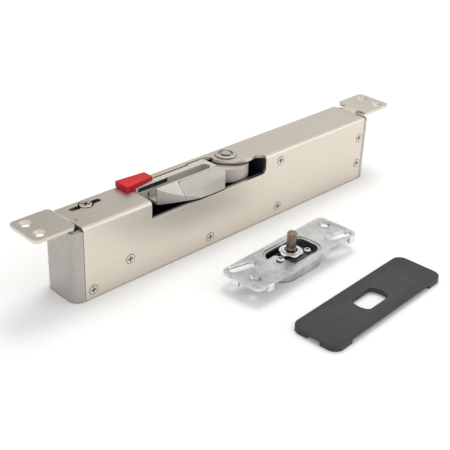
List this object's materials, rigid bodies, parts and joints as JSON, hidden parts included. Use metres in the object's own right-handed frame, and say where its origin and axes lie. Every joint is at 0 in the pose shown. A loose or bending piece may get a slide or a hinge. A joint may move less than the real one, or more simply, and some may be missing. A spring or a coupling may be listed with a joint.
{
  "type": "recessed door damper",
  "caption": "Slim steel housing let into a door's edge, with a damped arm that swings out of a cut-out to catch the pin of a separate striker plate; dark cover for the striker.",
  "frame": {"origin": "centre of the housing's flat underside", "axes": "+X along the housing towards the end away from the adjuster, +Y away from the open side of the cut-out, +Z out of the face with the arm and the ears"},
  "size_m": [0.296, 0.1514, 0.0494],
  "materials": {
    "steel_sheet": "fine lengthwise brushed stainless",
    "steel_dark": "plain zinc-plated sheet",
    "end_cast": "smooth grey cast ends",
    "black_plastic": "matt black moulding",
    "grey_plastic": "matt grey moulding",
    "screw_steel": "turned stainless",
    "bush_bronze": "sintered bronze",
    "bush_steel": "turned, slightly polished",
    "arm_cast": "satin cast steel",
    "shaft_steel": "ground steel",
    "spring_steel": "oiled spring steel",
    "gear_steel": "sintered steel",
    "damper_alloy": "turned aluminium",
    "block_alloy": "die cast alloy",
    "seal_rubber": "black rubber",
    "clip_red": "satin red moulding",
    "striker_zinc": "raw zinc casting, faintly mottled",
    "slider_dark": "dark blue-black finish",
    "pin_bronze": "bronzed steel pin",
    "nut_zinc": "bright zinc plate",
    "cover_grey": "dark grey fine-textured moulding"
  },
  "bodies": {
    "housing": {"cover_channel": "steel_sheet", "inner_frame": "steel_dark", "end_block_left": "end_cast", "end_block_right": "end_cast", "pocket_liner": "black_plastic", "bearing_plate": "steel_dark", "adjuster_block": "grey_plastic", "spacer_block": "grey_plastic", "front_screws": "screw_steel", "rear_screws": "screw_steel", "top_bush": "bush_steel", "middle_bush": "bush_bronze", "lower_bush": "bush_bronze", "damper_cylinder": "damper_alloy", "damper_gland": "damper_alloy", "rod_seal": "seal_rubber", "valve_block": "damper_alloy", "damper_saddles": "block_alloy", "spring_anchor": "block_alloy", "spring_guide_rod": "shaft_steel", "closing_spring": "spring_steel"},
    "arm": {"arm_casting": "arm_cast", "arm_hood": "arm_cast", "hood_screws": "screw_steel", "buffer_strip": "seal_rubber", "spindle": "shaft_steel", "spindle_clip": "spring_steel", "pinion_sector": "gear_steel", "arm_washers": "shaft_steel"},
    "carriage": {"rack_carriage": "gear_steel", "damper_rod": "shaft_steel", "rod_nut": "shaft_steel", "damper_piston": "damper_alloy", "piston_ring": "seal_rubber"},
    "adjuster": {"adjuster_screw": "screw_steel"},
    "clip": {"transport_clip": "clip_red"},
    "striker": {"striker_plate": "striker_zinc"},
    "slider": {"striker_slider": "slider_dark", "striker_pin": "pin_bronze", "striker_nut": "nut_zinc", "clamp_screws": "nut_zinc"},
    "cover": {"striker_cover": "cover_grey"}
  },
  "joints": [
    {"name": "arm_swing", "type": "hinge", "parent": "housing", "child": "arm", "pos_m": [0.0037, 0.00415, 0.046], "axis": [0, 0, 1], "range_deg": [0, 65], "stiffness_Nm_per_rad": 0.4, "springref_deg": -28.65},
    {"name": "rack_slide", "type": "slide", "parent": "housing", "child": "carriage", "axis": [1, 0, 0], "range_m": [0, 0.01022], "deforming": ["closing_spring"]},
    {"name": "adjuster_turn", "type": "hinge", "parent": "housing", "child": "adjuster", "pos_m": [-0.1015, 0.007, 0.046], "axis": [0, 0, 1], "range_deg": [-135, 135]},
    {"name": "clip_lift", "type": "slide", "parent": "housing", "child": "clip", "axis": [0, 0, 1], "range_m": [0, 0.03]},
    {"name": "striker_lift", "type": "slide", "parent": "housing", "child": "striker", "axis": [0, 0, 1], "range_m": [0, 0.05]},
    {"name": "pin_set", "type": "slide", "parent": "striker", "child": "slider", "axis": [0.9983, 0.0576, 0], "range_m": [-0.0015, 0.0015]},
    {"name": "cover_lift", "type": "slide", "parent": "housing", "child": "cover", "axis": [0, 0, 1], "range_m": [0, 0.05]}
  ],
  "couplings": [
    {"joint": "rack_slide", "follows": "arm_swing", "m_per_rad": 0.009}
  ]
}
